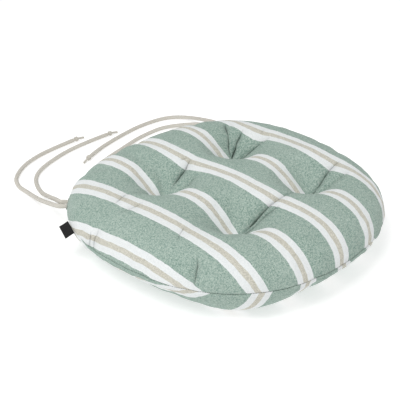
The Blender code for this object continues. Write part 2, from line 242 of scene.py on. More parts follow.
def tube(name, line, radii, sides, material, closed=False, relief=None):
    """A tube along a line. Its UV map "along" holds the turn round it and the metres along it.

    radii is one number, or one for each point. relief(turn, metres) adds to the radius.
    """
    line = np.asarray(line, float)
    _, across, up = frames_along(line, closed)
    radii = np.broadcast_to(np.asarray(radii, float), len(line))
    metres = np.concatenate([[0.0], np.cumsum(np.linalg.norm(np.diff(line, axis=0), axis=1))])
    turns = np.arange(sides) / sides
    grown = radii[:, None] + np.zeros(sides)
    if relief is not None:
        grown = grown + relief(turns[None, :], metres[:, None])
    angle = turns * math.tau
    points = (
        line[:, None, :]
        + across[:, None, :] * (np.cos(angle) * grown)[:, :, None]
        + up[:, None, :] * (np.sin(angle) * grown)[:, :, None]
    ).reshape(-1, 3)
    faces, uvs = [], []
    count = len(line)
    pitch = metres[1] - metres[0]
    for i in range(count if closed else count - 1):
        low, high = metres[i], metres[i] + pitch
        for k in range(sides):
            j, n = (i + 1) % count, (k + 1) % sides
            left, right = k / sides, (k + 1) / sides
            faces.append((i * sides + n, j * sides + n, j * sides + k, i * sides + k))
            uvs += [(right, low), (right, high), (left, high), (left, low)]
    if not closed:
        loop = list(range(sides))
        faces += [loop[::-1], [(count - 1) * sides + k for k in loop]]
        uvs += [(0.0, metres[0])] * sides + [(0.0, metres[-1])] * sides
    piece = add_mesh(name, points, faces, material)
    layer = piece.data.uv_layers.new(name="along")
    layer.data.foreach_set("uv", np.array(uvs, float).ravel())
    return piece


def joined(name, pieces):
    """Joins several objects into the first, as one piece."""
    bpy.ops.object.select_all(action="DESELECT")
    for piece in pieces:
        piece.select_set(True)
    bpy.context.view_layer.objects.active = pieces[0]
    bpy.ops.object.join()
    pieces[0].name = name
    pieces[0].data.name = name
    return pieces[0]


# ---------------------------------------------------------------- node helpers

class Value:
    """A node's output. Arithmetic on it adds the math nodes."""

    def __init__(self, nodes, socket):
        self.nodes, self.socket = nodes, socket

    def __add__(self, other):
        return self.nodes.math("ADD", self, other)

    def __sub__(self, other):
        return self.nodes.math("SUBTRACT", self, other)

    def __rsub__(self, other):
        return self.nodes.math("SUBTRACT", other, self)

    def __mul__(self, other):
        return self.nodes.math("MULTIPLY", self, other)

    def __truediv__(self, other):
        return self.nodes.math("DIVIDE", self, other)


class Nodes:
    """Short names for building one material's node tree."""

    def __init__(self, name):
        self.material = bpy.data.materials.new(name)
        self.material.use_nodes = True
        self.tree = self.material.node_tree
        self.shader = self.tree.nodes["Principled BSDF"]

    def add(self, kind, **settings):
        node = self.tree.nodes.new(kind)
        for key, value in settings.items():
            setattr(node, key, value)
        return node

    def feed(self, socket, value):
        if isinstance(value, Value):
            self.tree.links.new(value.socket, socket)
        else:
            socket.default_value = (*value, 1.0) if isinstance(value, tuple) else value

    def feed_all(self, sockets, values):
        for socket, value in zip(sockets, values):
            self.feed(socket, value)

    def shade(self, colour, **settings):
        """Feeds the shader its colour, and other sockets by name, with _ for a space."""
        self.feed(self.shader.inputs["Base Color"], colour)
        for key, value in settings.items():
            self.feed(self.shader.inputs[key.replace("_", " ")], value)

    def math(self, operation, *values):
        node = self.add("ShaderNodeMath", operation=operation)
        self.feed_all(node.inputs, values)
        return Value(self, node.outputs[0])

    def mix(self, share, low, high):
        node = self.add("ShaderNodeMix", data_type="RGBA")
        self.feed_all((node.inputs[0], node.inputs[6], node.inputs[7]), (share, low, high))
        return Value(self, node.outputs[2])

    def vector(self, x, y):
        node = self.add("ShaderNodeCombineXYZ")
        self.feed_all(node.inputs, (x, y))
        return Value(self, node.outputs[0])

    def noise(self, vector, scale, detail=2.0, roughness=0.5, dimensions="3D"):
        node = self.add("ShaderNodeTexNoise", noise_dimensions=dimensions)
        names = ("Vector", "Scale", "Detail", "Roughness")
        self.feed_all([node.inputs[key] for key in names], (vector, scale, detail, roughness))
        return Value(self, node.outputs["Fac"])

    def ramp(self, value, low, high, out_low=0.0, out_high=1.0):
        node = self.add("ShaderNodeMapRange", clamp=True)
        self.feed_all(node.inputs, (value, low, high, out_low, out_high))
        return Value(self, node.outputs[0])

    def uv(self, name):
        split = self.add("ShaderNodeSeparateXYZ")
        self.tree.links.new(self.add("ShaderNodeUVMap", uv_map=name).outputs[0], split.inputs[0])
        return Value(self, split.outputs[0]), Value(self, split.outputs[1])

    def object_place(self):
        return Value(self, self.add("ShaderNodeTexCoord").outputs["Object"])

    def wave(self, value):
        """A sine that turns once for each unit of the value."""
        return self.math("SINE", value * math.tau)

    def bump(self, height, distance, strength):
        node = self.add("ShaderNodeBump")
        self.feed(node.inputs["Strength"], strength)
        self.feed(node.inputs["Distance"], distance)
        self.feed(node.inputs["Height"], height)
        self.tree.links.new(node.outputs[0], self.shader.inputs["Normal"])


# ---------------------------------------------------------------- materials

STRIPE_REPEAT = 0.0635
BEIGE_SHARE = 0.115           # half width of the beige stripe, as a share of half the repeat
WHITE_SHARE = 0.392           # the same to the outside of the two white stripes
STRIPE_BLUR = 0.006
STRIPE_WANDER = 0.00018       # how far a stripe's edge strays, in metres
YARN_PITCH = 0.0010
YARN_SLUBS = 330.0            # changes of tone along a yarn, per metre
GREENS = (0.172, 0.272, 0.228), (0.455, 0.555, 0.490)
BEIGES = (0.470, 0.450, 0.380), (0.690, 0.675, 0.590)
WHITES = (0.745, 0.775, 0.780), (0.850, 0.870, 0.870)
WORN_COLOUR = (0.62, 0.68, 0.64)
# Painted shade: the colour that the bottoms of folds and the middles of tufts are darkened towards, and how far
PAINTED_CREASE_SHADE_COLOUR = (0.030, 0.045, 0.040)
PAINTED_CREASE_SHADE_STRENGTH = 0.82
BRAID_LENGTH = 0.0052         # one turn of the cord's braid
BRAID_STRANDS = 8


def striped_fabric(name):
    """Plain-woven melange canvas in green, white and beige stripes along the cut's Y."""
    n = Nodes(name)
    u, v = n.uv("cut")
    place = n.vector(u, v)
    wander = n.ramp(n.noise(place, 260.0), 0.3, 0.7, -STRIPE_WANDER, STRIPE_WANDER)
    repeats = (u + wander + 10.5 * STRIPE_REPEAT) / STRIPE_REPEAT
    share = n.math("ABSOLUTE", n.math("FRACT", repeats) * 2.0 - 1.0)
    in_white = n.ramp(share, BEIGE_SHARE - STRIPE_BLUR, BEIGE_SHARE + STRIPE_BLUR)
    in_green = n.ramp(share, WHITE_SHARE - STRIPE_BLUR, WHITE_SHARE + STRIPE_BLUR)
    warp, weft = (n.math("FLOOR", along / YARN_PITCH) for along in (u, v))
    over = n.math("GREATER_THAN", n.math("MODULO", warp + weft + 4000.0, 2.0), 0.5)

    def woven(of_warp, of_weft):
        return over * of_warp + (1.0 - over) * of_weft

    yarns = woven(
        n.noise(n.vector(warp * 3.7, v * YARN_SLUBS), 1.0, 1.0, dimensions="2D"),
        n.noise(n.vector(u * YARN_SLUBS, weft * 3.7), 1.0, 1.0, dimensions="2D"))
    clumps = n.noise(place, 620.0)
    tone = yarns * 0.6 + clumps * 0.4
    strong = n.ramp(tone, 0.36, 0.64)
    green, beige, white = (n.mix(strong, *pair) for pair in (GREENS, BEIGES, WHITES))
    colour = n.mix(in_green, n.mix(in_white, beige, white), green)
    colour = n.mix(n.ramp(n.noise(place, 14.0, 3.0), 0.3, 0.7, 0.0, 0.10), colour, WORN_COLOUR)
    # Painted shade: the UV map "crease" darkens the cloth in the bottoms of folds and round the tufts, where
    # shade falls
    painted_crease_shade, _ = n.uv("crease")
    colour = n.mix(painted_crease_shade * PAINTED_CREASE_SHADE_STRENGTH, colour, PAINTED_CREASE_SHADE_COLOUR)
    n.shade(colour, Roughness=n.ramp(tone, 0.3, 0.7, 0.88, 0.98), Specular_IOR_Level=0.25,
            Sheen_Weight=0.12, Sheen_Roughness=0.5)
    humps = woven(*(
        n.math("ABSOLUTE", n.math("SINE", along * (math.pi / YARN_PITCH))) for along in (u, v)))
    n.bump(humps + clumps * 0.8, 0.00018, 0.7)
    return n.material


def cord_material():
    """A tight cotton braid, in two close tones of beige."""
    n = Nodes("braided_cord")
    turn, along = n.uv("along")
    strand, rise = turn * BRAID_STRANDS, along * (BRAID_STRANDS / 2 / BRAID_LENGTH)
    braid = n.math("MAXIMUM", n.wave(strand + rise), n.wave(strand - rise))
    tone = n.ramp(braid, -0.4, 1.0) * 0.6 + n.noise(n.object_place(), 1400.0) * 0.4
    colour = n.mix(n.ramp(tone, 0.2, 0.8), (0.470, 0.440, 0.385), (0.700, 0.675, 0.615))
    n.shade(colour, Roughness=0.92, Specular_IOR_Level=0.25, Sheen_Weight=0.15)
    n.bump(tone, 0.00030, 0.8)
    return n.material


def thread_material(name, dark, light):
    """Spun thread: fine diagonal plies round the strand."""
    n = Nodes(name)
    turn, along = n.uv("along")
    ply = n.wave((turn + along * 700.0) * 2.0)
    tone = n.ramp(ply, -1.0, 1.0) * 0.55 + n.noise(n.object_place(), 2400.0) * 0.45
    n.shade(n.mix(tone, dark, light), Roughness=0.75, Sheen_Weight=0.10)
    n.bump(tone, 0.00010, 0.7)
    return n.material


def label_material():
    """Black satin tape, with the fine cross ribs of a woven label."""
    n = Nodes("black_woven_tape")
    across, along = n.uv("tape")
    weave = n.wave(across / 0.00045) * n.wave(along / 0.00060)
    tone = n.ramp(weave, -1.0, 1.0) * 0.5 + n.noise(n.object_place(), 1800.0) * 0.5
    colour = n.mix(tone, (0.002, 0.002, 0.002), (0.010, 0.010, 0.011))
    n.shade(colour, Roughness=n.ramp(tone, 0.2, 0.8, 0.50, 0.68), Specular_IOR_Level=0.25)
    n.bump(weave, 0.00006, 0.8)
    return n.material


def filling_material():
    """Loose white polyester fibre."""
    n = Nodes("white_fibre")
    fluff = n.noise(n.object_place(), 320.0, 5.0, 0.7)
    n.shade(n.mix(fluff, (0.74, 0.74, 0.72), (0.93, 0.93, 0.92)), Roughness=0.95, Sheen_Weight=0.3)
    n.bump(fluff, 0.0012, 0.8)
    return n.material


TOP_FABRIC = striped_fabric("striped_canvas_top")
BOTTOM_FABRIC = striped_fabric("striped_canvas_bottom")
CORD = cord_material()
SEAM_THREAD = thread_material("seam_thread", (0.012, 0.018, 0.016), (0.045, 0.060, 0.054))
TUFT_THREAD = thread_material("tuft_thread", (0.190, 0.270, 0.235), (0.420, 0.520, 0.460))
TACK_THREAD = thread_material("tack_thread", (0.420, 0.430, 0.390), (0.700, 0.700, 0.640))
LABEL_TAPE = label_material()
FIBRE = filling_material()


# ---------------------------------------------------------------- ties

CORD_RING_STEP = 0.0011
CORD_SIDES = 24
CORD_TUCK = 0.006             # how far a cord runs on into the seam
BRAID_HEIGHT = 0.00010
SEAM_SQUEEZE = (0.45, 0.006)  # a cord thins by this share where it is sewn in, over this length
KNOT_SQUEEZE = (0.22, 0.0022)
KNOT_STRAND = 0.00145         # radius of the core that the knot is tied from
KNOT_TURNS = 2.15
KNOT_POINTS = 90
CORE_RADIUS = 0.0019


def braid_relief(turn, metres):
    """The ridges of the braid, in metres above the cord's mean surface."""
    strand, rise = BRAID_STRANDS * turn, BRAID_STRANDS / 2 * metres / BRAID_LENGTH
    ridges = np.maximum(np.sin(math.tau * (strand + rise)), np.sin(math.tau * (strand - rise)))
    return BRAID_HEIGHT * ridges


def laid_relief(height, lay):
    """A relief of three plies that twist once round a thin cord in the length given."""
    return lambda turn, metres: height * np.sin(math.tau * (3 * turn + metres / lay))


def make_tail(label, start, along):
    """The thin core that runs on beyond the knot and droops a little."""
    drop = Vector((0, 0, -TAIL_DROP))
    half_way = start + along * 0.5 * TAIL_LENGTH + drop * 0.45
    line = smooth_line([start, half_way, start + along * (TAIL_LENGTH + 0.0010) + drop], 0.0006)
    share = np.linspace(0, 1, len(line))
    rounded_end = np.sqrt(1 - np.clip((share - 0.94) / 0.07, 0, 1) ** 2)
    radii = TAIL_DIAMETER / 2 * (1 + 0.10 * share) * rounded_end
    return tube(f"tail_{label}", line, radii, 14, CORD, relief=laid_relief(0.00008, 0.0035))


def make_tie(label):
    """One tie: the cord out of the seam, the knot that stops its end, and the core beyond it."""
    side, place_in_pair = label.split("_")
    outward = 2 * CLEARANCE + BARTACK_SIZE[0] + CLEARANCE
    middle, normal = rim_point(math.radians(TIE_ANGLES[side]), outward)
    along_seam = Vector((-normal.y, normal.x, 0))
    towards_front = 1 if side == "left" else -1
    offset = towards_front * (TIE_HALF_SPACING if place_in_pair == "outer" else -TIE_HALF_SPACING)
    start = middle + along_seam * offset
    lead = start + normal * CORD_LEAD
    route = smooth_line([lead, *(Vector(p) for p in TIE_ROUTES[label])], CORD_RING_STEP, start)
    tuck = start - normal * CORD_TUCK
    line = respaced([tuck, start, *(Vector(p) for p in route)], CORD_RING_STEP)
    radii = np.full(len(line), CORD_DIAMETER / 2)
    metres = np.arange(len(line)) * CORD_RING_STEP
    for (share, length), away in ((SEAM_SQUEEZE, metres), (KNOT_SQUEEZE, metres[::-1])):
        radii *= 1 - share * np.exp(-((away / length) ** 2))
    cord = tube(f"cord_{label}", line, radii, CORD_SIDES, CORD, relief=braid_relief)

    along = Vector(route[-1] - route[-2])
    along.z = 0.0
    along.normalize()
    knot_start = Vector(route[-1]) + along * CLEARANCE
    knot = make_knot(f"knot_{label}", knot_start, along)
    tail = make_tail(label, knot_start + along * (KNOT_LENGTH - 0.0010), along)
    length = float(np.linalg.norm(np.diff(line, axis=0), axis=1).sum())
    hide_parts(f"tie_cord_{label}")
    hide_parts(f"tie_knot_{label}")
    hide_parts(f"tie_tail_{label}")
    for piece in (cord, knot, tail):
        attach(piece, "pad")


def make_knot(name, start, along):
    """A small overhand knot: the thinner core wound twice round itself."""
    side = along.cross(Vector((0, 0, 1))).normalized()
    up = side.cross(along)
    reach = KNOT_DIAMETER / 2 - KNOT_STRAND
    points = []
    for k in range(KNOT_POINTS + 1):
        t = k / KNOT_POINTS
        turn = math.tau * (KNOT_TURNS * t - 0.2)
        swell = min(1.0, t / 0.12, (1 - t) / 0.12)
        swell = swell * swell * (3 - 2 * swell)
        advance = KNOT_STRAND * 0.6 + (KNOT_LENGTH - KNOT_STRAND * 1.2) * t
        around = side * math.cos(turn) + up * math.sin(turn)
        points.append(start + along * advance + around * reach * swell)
    wound = tube(f"{name}_turns", respaced(points, 0.0005), KNOT_STRAND, 12, CORD,
                 relief=laid_relief(0.00006, 0.003))
    core_line = respaced([start - along * 0.0012, start + along * (KNOT_LENGTH + 0.0003)], 0.0006)
    core = tube(f"{name}_core", core_line, CORE_RADIUS, 12, CORD)
    return joined(name, [wound, core])


for tie_label in TIE_ROUTES:
    make_tie(tie_label)


# ---------------------------------------------------------------- the sewn cushion, by cloth simulation

CUT_EASE = 1.06               # the flat cut is this much wider than the finished outline
SIM_STEP = 0.006
SIM_FRAMES = 40
SIM_TOP_DIMPLE = (0.034, 0.054)           # depth and radius of the dimple it starts from
SIM_UNDER_DIMPLE = (0.018, 0.045)
LATTICE_JITTER = 0.18


def cut_radius(angle):
    return rim_radius(angle) * CUT_EASE


def triangulated(ring_count, inner, inner_edges=()):
    """Triangles over the flat cut: (points, triangles, ring indices, index of each inner point)."""
    ring = []
    for k in range(ring_count):
        angle = math.tau * k / ring_count
        ring.append((cut_radius(angle) * math.cos(angle), cut_radius(angle) * math.sin(angle)))
    every = [Vector(p) for p in ring] + [Vector(p) for p in inner]
    edges = [(k, (k + 1) % ring_count) for k in range(ring_count)]
    edges += [(ring_count + a, ring_count + b) for a, b in inner_edges]
    found = delaunay_2d_cdt(every, edges, [], 1, 1e-7)
    where = {}
    for index, sources in enumerate(found[3]):
        for source in sources:
            where[source] = index
    points = np.array([(p.x, p.y) for p in found[0]])
    return (
        points,
        [tuple(f) for f in found[2]],
        [where[k] for k in range(ring_count)],
        [where[ring_count + k] for k in range(len(inner))],
    )


def lattice(step, margin, seed, keep_clear):
    """A jittered triangular lattice inside the cut, clear of some other points."""
    rng = np.random.default_rng(seed)
    tree = KDTree(len(keep_clear))
    for k, (x, y, _) in enumerate(keep_clear):
        tree.insert((x, y, 0.0), k)
    tree.balance()
    found = []
    half = RADIUS * 1.2
    for row, y in enumerate(np.arange(-half, half, step * math.sqrt(3) / 2)):
        for x in np.arange(-half, half, step) + (step / 2 if row % 2 else 0.0):
            jitter = rng.uniform(-LATTICE_JITTER, LATTICE_JITTER, 2) * step
            px, py = x + jitter[0], y + jitter[1]
            if math.hypot(px, py) > cut_radius(math.atan2(py, px)) - margin:
                continue
            near = tree.find((px, py, 0.0))
            if near[2] is not None and near[2] < keep_clear[near[1]][2]:
                continue
            found.append((px, py))
    return found


def lifted(points, top):
    """Where the flat cut lies to begin with: bent over the CAD shape, keeping its arc length."""
    swell = TOP_SWELL if top else SEAM_HEIGHT
    turn = np.linspace(math.pi / 2, 0, 200)
    arc_x, arc_z = RIM_DEPTH * np.cos(turn), swell * np.sin(turn)
    arc = np.concatenate([[0], np.cumsum(np.hypot(np.diff(arc_x), np.diff(arc_z)))])
    depth, radius = SIM_TOP_DIMPLE if top else SIM_UNDER_DIMPLE
    placed = np.zeros((len(points), 3))
    for k, (x, y) in enumerate(points):
        angle = math.atan2(y, x)
        flat = rim_radius(angle) - RIM_DEPTH
        along = math.hypot(x, y) / cut_radius(angle) * (flat + arc[-1])
        if along < flat:
            plan, rise = along, swell
        else:
            plan = flat + np.interp(along - flat, arc, arc_x)
            rise = np.interp(along - flat, arc, arc_z)
        px, py = plan * math.cos(angle), plan * math.sin(angle)
        pull = 0.0
        for tx, ty in tuft_places():
            away = math.hypot(px - tx, py - ty) / radius
            if away < 1:
                pull += depth * (1 - away * away) ** 2
        up = rise / swell * (swell - pull)
        placed[k] = (px, py, SEAM_HEIGHT + (up if top else -up))
    return placed


def inflated():
    """Sews the two flat cuts together, fills them, and returns the settled cloth.

    The result is an object with the UV map "cut", material index 0 for the top and 1 for the
    bottom, whose seam ring is shared.
    """
    ring_count = round(math.tau * RADIUS * CUT_EASE / SIM_STEP)
    tufts = tuft_places()
    clear = [(x, y, 0.6 * SIM_STEP) for x, y in tufts]
    inner = tufts + lattice(SIM_STEP, 0.7 * SIM_STEP, 4, clear)
    flat, faces, ring, where = triangulated(ring_count, inner)
    on_ring = np.zeros(len(flat), bool)
    on_ring[ring] = True
    low = np.where(on_ring, np.arange(len(flat)), 0)
    low[~on_ring] = len(flat) + np.arange((~on_ring).sum())
    count = len(flat) + int((~on_ring).sum())
    start, rest = np.zeros((count, 3)), np.zeros((count, 3))
    upper, lower = lifted(flat, True), lifted(flat, False)
    start[low] = lower
    start[:len(flat)] = upper
    start[ring, 2] = SEAM_HEIGHT
    rest[:len(flat), :2] = flat
    rest[low, :2] = flat
    all_faces = faces + [tuple(int(low[i]) for i in face[::-1]) for face in faces]
    cloth = add_mesh("sewn_cushion", start, all_faces)
    set_uv(cloth.data, "cut", rest[:, :2])
    for slot in range(2):
        cloth.data.materials.append(None)
    cloth.data.polygons.foreach_set(
        "material_index", [0] * len(faces) + [1] * len(faces))
    pins = where[:len(tufts)]
    settle(cloth, rest, [int(p) for p in pins] + [int(low[p]) for p in pins])
    return cloth


def settle(cloth, rest, pins):
    """Runs the cloth with the filling's pressure and the tufts held, and applies it."""
    cloth.shape_key_add(name="start")
    flat_key = cloth.shape_key_add(name="flat")
    flat_key.data.foreach_set("co", rest.ravel())
    flat_key.value = 0.0
    cloth.vertex_groups.new(name="tufts").add(pins, 1.0, "REPLACE")
    modifier = cloth.modifiers.new("filling pressure", "CLOTH")
    fabric = modifier.settings
    fabric.quality = 6
    fabric.mass = 0.002
    fabric.tension_stiffness = 40
    fabric.compression_stiffness = 40
    fabric.shear_stiffness = 10
    fabric.bending_stiffness = 0.002
    fabric.tension_damping = fabric.compression_damping = fabric.shear_damping = 5
    fabric.bending_damping = 0.5
    fabric.air_damping = 1.0
    fabric.use_pressure = True
    fabric.uniform_pressure_force = 150
    fabric.vertex_group_mass = "tufts"
    fabric.pin_stiffness = 1.0
    fabric.rest_shape_key = flat_key
    fabric.effector_weights.gravity = 0.0
    modifier.collision_settings.use_collision = False
    modifier.collision_settings.use_self_collision = False
    modifier.point_cache.frame_start = 1
    modifier.point_cache.frame_end = SIM_FRAMES
    scene = bpy.context.scene
    scene.frame_end = SIM_FRAMES
    for number in range(1, SIM_FRAMES + 1):
        scene.frame_set(number)
    graph = bpy.context.evaluated_depsgraph_get()
    settled = bpy.data.meshes.new_from_object(cloth.evaluated_get(graph))
    places = np.zeros(len(settled.vertices) * 3)
    settled.vertices.foreach_get("co", places)
    cloth.modifiers.clear()
    cloth.shape_key_clear()
    cloth.data.vertices.foreach_set("co", places)
    cloth.data.update()
    bpy.data.meshes.remove(settled)
    scene.frame_set(1)


class Surface:
    """One panel of the settled cloth, as a smooth map from cut coordinates to places."""

    def __init__(self, cloth, panel):
        smooth = cloth.modifiers.new("smooth", "SUBSURF")
        smooth.levels = smooth.render_levels = 1
        smooth.uv_smooth = "NONE"
        graph = bpy.context.evaluated_depsgraph_get()
        fine = bpy.data.meshes.new_from_object(cloth.evaluated_get(graph))
        cloth.modifiers.clear()
        places = np.zeros(len(fine.vertices) * 3)
        fine.vertices.foreach_get("co", places)
        places = places.reshape(-1, 3)
        corner = np.zeros(len(fine.loops), int)
        fine.loops.foreach_get("vertex_index", corner)
        flat = np.zeros(len(fine.loops) * 2)
        fine.uv_layers["cut"].data.foreach_get("uv", flat)
        flat = flat.reshape(-1, 2)
        index = np.zeros(len(fine.polygons), int)
        fine.polygons.foreach_get("material_index", index)
        starts = np.zeros(len(fine.polygons), int)
        fine.polygons.foreach_get("loop_start", starts)
        mine = starts[index == panel]
        loops = mine[:, None] + np.arange(4)
        self.flat = [Vector((x, y, 0.0)) for x, y in flat[loops.ravel()]]
        self.places = places[corner[loops.ravel()]]
        self.tree = BVHTree.FromPolygons(
            self.flat, [tuple(range(4 * k, 4 * k + 4)) for k in range(len(mine))])
        bpy.data.meshes.remove(fine)

    def at(self, points):
        found = np.zeros((len(points), 3))
        for k, (x, y) in enumerate(points):
            place, _, face, _ = self.tree.find_nearest(Vector((x, y, 0.0)))
            corners = slice(4 * face, 4 * face + 4)
            weights = np.array(poly_3d_calc(self.flat[corners], place))
            found[k] = weights @ self.places[corners]
        return found


# ---------------------------------------------------------------- the finished covers

RIM_COUNT = 360
PANEL_STEP = 0.0042
PANEL_MARGIN = 0.0062
SAME_POINT = 0.0007           # two points this close are one
FOLD_STEP = 0.0018
FOLD_ROWS = (0.0008, 0.0017, 0.0028, 0.0042)                    # rows of points beside a fold
TUFT_RINGS = ((0.0012, 6), (0.0027, 10), (0.0046, 14))          # radius and points
RIM_ROWS = ((0.0016, 0.5), (0.0040, 0.0))                       # inset, and start in steps
FABRIC_THICKNESS = 0.0008
TOP_RISE = 0.92               # the filled top settles to this share of its height over the seam
FLOOR_SOFTNESS = 0.006
# The edge's rings: how far inside the seam, half the groove's width there, spare cloth so far
EDGE_ROLL = (
    (0.0, 0.0008, 0.0), (0.0005, 0.00028, 0.0006), (0.0014, 0.00015, 0.0015), (0.0032, 0.00015, 0.0033))
FOLD_TAKES = 0.70             # a fold swallows this much cloth on each side, per unit of its depth
FOLD_SINKS = 1.2
FOLD_HOLLOW = 0.75            # beside its crease a fold dips this much more, per unit of its depth
FOLD_HOLLOW_WIDTH = 0.0065
FOLD_EASE = 0.012             # the cloth beside a fold gives way over this far
CREASE_WIDTH = 0.0016         # the line of painted shade in the bottom of a fold
FULL_CREASE = 0.0042          # a fold this deep gets the full painted shade
BOTTOM_MISMATCH = 0.004
GRAIN_DRIFT = (0.0032, -0.0048, -0.0029, 0.0015)    # by powers of Y in tenths of a metre
GRAIN_SPREAD = 0.0016
TUFT_TAKES = 0.0022
TUFT_SINKS = 0.0055
TUFT_HOLLOW = 0.0055
TUFT_HOLLOW_WIDTH = 0.0075
BOTTOM_TUCK = 0.0120          # the underside's rim is drawn up by this much, but for the front corner
BOTTOM_CORNER = math.radians(229.0)
BOTTOM_CORNER_WIDTH = math.radians(17.0)
MM = 0.001

# A fold is a path over the flat cut, as (x, y, depth) in mm. A valley is (width in mm, path).
TOP_VALLEYS = (
    (9.0, ((-100, -61, 0), (-75, -65, 1.5), (-56, -67, 0.5), (-36, -69, 2.0), (-10, -75, 1.6),
           (20, -78, 0.6), (50, -73, 1.2), (81, -66, 0.5), (100, -70, 2.0), (120, -71, 1.0),
           (138, -74, 0))),
    (9.0, ((-110, 57, 0), (-75, 61, 1.5), (-48, 64, 0.5), (-24, 67, 1.8), (10, 70, 0.8), (45, 69, 1.0),
           (81, 70, 0.5), (100, 66, 1.6), (122, 52, 0.8), (136, 44, 0))),
    (8.0, ((81, 72, 0.5), (98, 96, 2.0), (112, 116, 2.0), (122, 130, 0))),
    (9.0, ((-44, 66, 0.5), (-40, 95, 1.5), (-43, 130, 3.0), (-45, 165, 3.0), (-47, 195, 0))),
    (8.0, ((83, 118, 0), (84, 135, 3.0), (90, 165, 3.0), (94, 185, 0))),
    (8.0, ((-80, 100, 0), (-94, 138, 3.0), (-108, 162, 3.0), (-116, 172, 0))),
    (7.0, ((-4, 118, 0), (-7, 140, 2.0), (-9, 170, 2.5), (-10, 200, 0))),
)
TOP_FOLDS = (
    # the front row of tufts
    ((-52, -67, 3.0), (-36, -68, 4.0), (-20, -72, 4.5), (-5, -76, 4.2), (7, -79, 3.0), (26, -80, 1.6),
     (50, -74, 1.6), (70, -67, 2.6), (80, -65, 3.0)),
    ((-50, -70, 2.0), (-42, -74, 4.0), (-28, -80, 5.0), (-14, -87, 3.4), (-4, -92, 0)),
    ((-55, -68, 5.0), (-57, -76, 3.6), (-59, -84, 0)),
    ((-56, -67, 3.0), (-68, -63, 2.4), (-82, -59, 1.2), (-96, -58, 0)),
    ((84, -66, 3.0), (91, -69, 4.2), (101, -70, 4.5), (112, -70, 4.2), (121, -70, 3.0),
     (131, -71, 1.8), (136, -73, 0)),
    ((82, -70, 3.0), (88, -80, 4.6), (97, -88, 5.4), (106, -93, 4.8), (114, -96, 3.0),
     (122, -99, 0)),
    # the rear row
    ((-40, 65, 0), (-26, 67, 3.0), (-12, 67, 4.0), (-4, 69, 2.4), (4, 71, 0)),
    ((-53, 61, 3.0), (-49, 52, 5.0), (-43, 45, 5.6), (-34, 42, 5.0), (-26, 40, 2.6), (-18, 38, 0)),
    ((-60, 64, 2.0), (-80, 60, 2.0), (-104, 56, 1.4), (-118, 54, 0)),
    ((84, 80, 2.0), (90, 88, 4.0), (96, 93, 2.6), (98, 96, 1.4), (102, 102, 2.6),
     (108, 110, 4.0), (113, 117, 0)),
    ((84, 74, 3.0), (93, 78, 4.2), (103, 82, 3.8), (112, 84, 1.8), (120, 86, 0)),
    ((83, 66, 4.0), (91, 63, 5.4), (99, 58, 5.0), (108, 51, 4.2), (117, 43, 2.2), (124, 38, 0)),
    ((80, 70, 3.0), (62, 69, 2.4), (40, 69, 1.4), (26, 69, 0)),
    # kinks where a valley runs out across a stripe
    ((-110, 58, 0), (-121, 57, 1.8), (-132, 53, 1.8), (-142, 48, 0)),
    ((-118, 26, 0), (-127, 25, 1.6), (-141, 28, 1.6), (-150, 31, 0)),
    ((-116, -46, 0), (-124, -50, 1.2), (-135, -56, 1.0), (-142, -60, 0)),
    ((126, 60, 0), (134, 61, 1.2), (123, 56, 0)),
    ((-10, 82, 0), (-4, 79, 1.4), (3, 77, 0)),
    # puckers running in from the seam
    ((-176, 38, 0), (-186, 36, 1.8), (-199, 37, 2.2), (-208, 38, 1.0)),
    ((-184, 47, 0), (-192, 46, 1.6), (-206, 48, 1.8)),
    ((-142, -93, 0), (-152, -102, 2.2), (-165, -110, 1.8), (-172, -114, 0)),
)
BOTTOM_VALLEYS = (
    (14.0, ((-150, 70, 0), (-90, 70, 2.0), (-55, 66, 0), (-10, 70, 2.5), (40, 70, 2.5), (79, 66, 0),
            (120, 72, 2.0), (160, 74, 0))),
    (14.0, ((-150, -72, 0), (-90, -70, 2.0), (-55, -68, 0), (-10, -72, 2.5), (40, -72, 2.5),
            (79, -68, 0), (120, -72, 2.0), (160, -74, 0))),
)
BOTTOM_FOLDS = (
    ((-57, -66, 3.0), (-70, -76, 3.0), (-88, -92, 1.8), (-100, -104, 0)),
    ((-57, 66, 3.0), (-74, 70, 3.0), (-92, 78, 1.6), (-104, 82, 0)),
    ((81, -66, 3.0), (92, -80, 3.0), (104, -96, 1.8), (112, -108, 0)),
    ((81, 68, 3.0), (96, 76, 3.0), (114, 80, 1.6), (128, 84, 0)),
    ((-53, -68, 3.0), (-36, -70, 2.6), (-16, -74, 1.4), (0, -76, 0)),
    ((-53, 66, 3.0), (-38, 70, 2.6), (-18, 72, 1.4), (-2, 74, 0)),
    ((77, -68, 3.0), (60, -72, 2.4), (44, -74, 0)),
    ((77, 66, 3.0), (62, 70, 2.4), (46, 72, 0)),
)


def seam_target(angle):
    """Where the seam lies at a cut angle, with the small waves of a sewn edge."""
    middle, normal = rim_point(angle)
    place = Vector((math.cos(angle), math.sin(angle), 0.0)) * 8.0
    wave = noise.noise(place + Vector((3.1, 7.7, 1.3)))
    kink = noise.noise(place * 2.3 + Vector((9.4, 2.2, 5.5)))
    middle.z += 0.0012 * wave + 0.0005 * kink
    return middle + normal * (0.0006 * noise.noise(place * 1.4 + Vector((0.4, 5.9, 8.2))))


def vertex_normals(points, faces):
    """Area-weighted vertex normals of a triangle mesh."""
    faces = np.asarray(faces)
    a, b, c = (points[faces[:, k]] for k in range(3))
    across = np.cross(b - a, c - a)
    total = np.zeros_like(points)
    for k in range(3):
        np.add.at(total, faces[:, k], across)
    return total / np.maximum(np.linalg.norm(total, axis=1), 1e-12)[:, None]


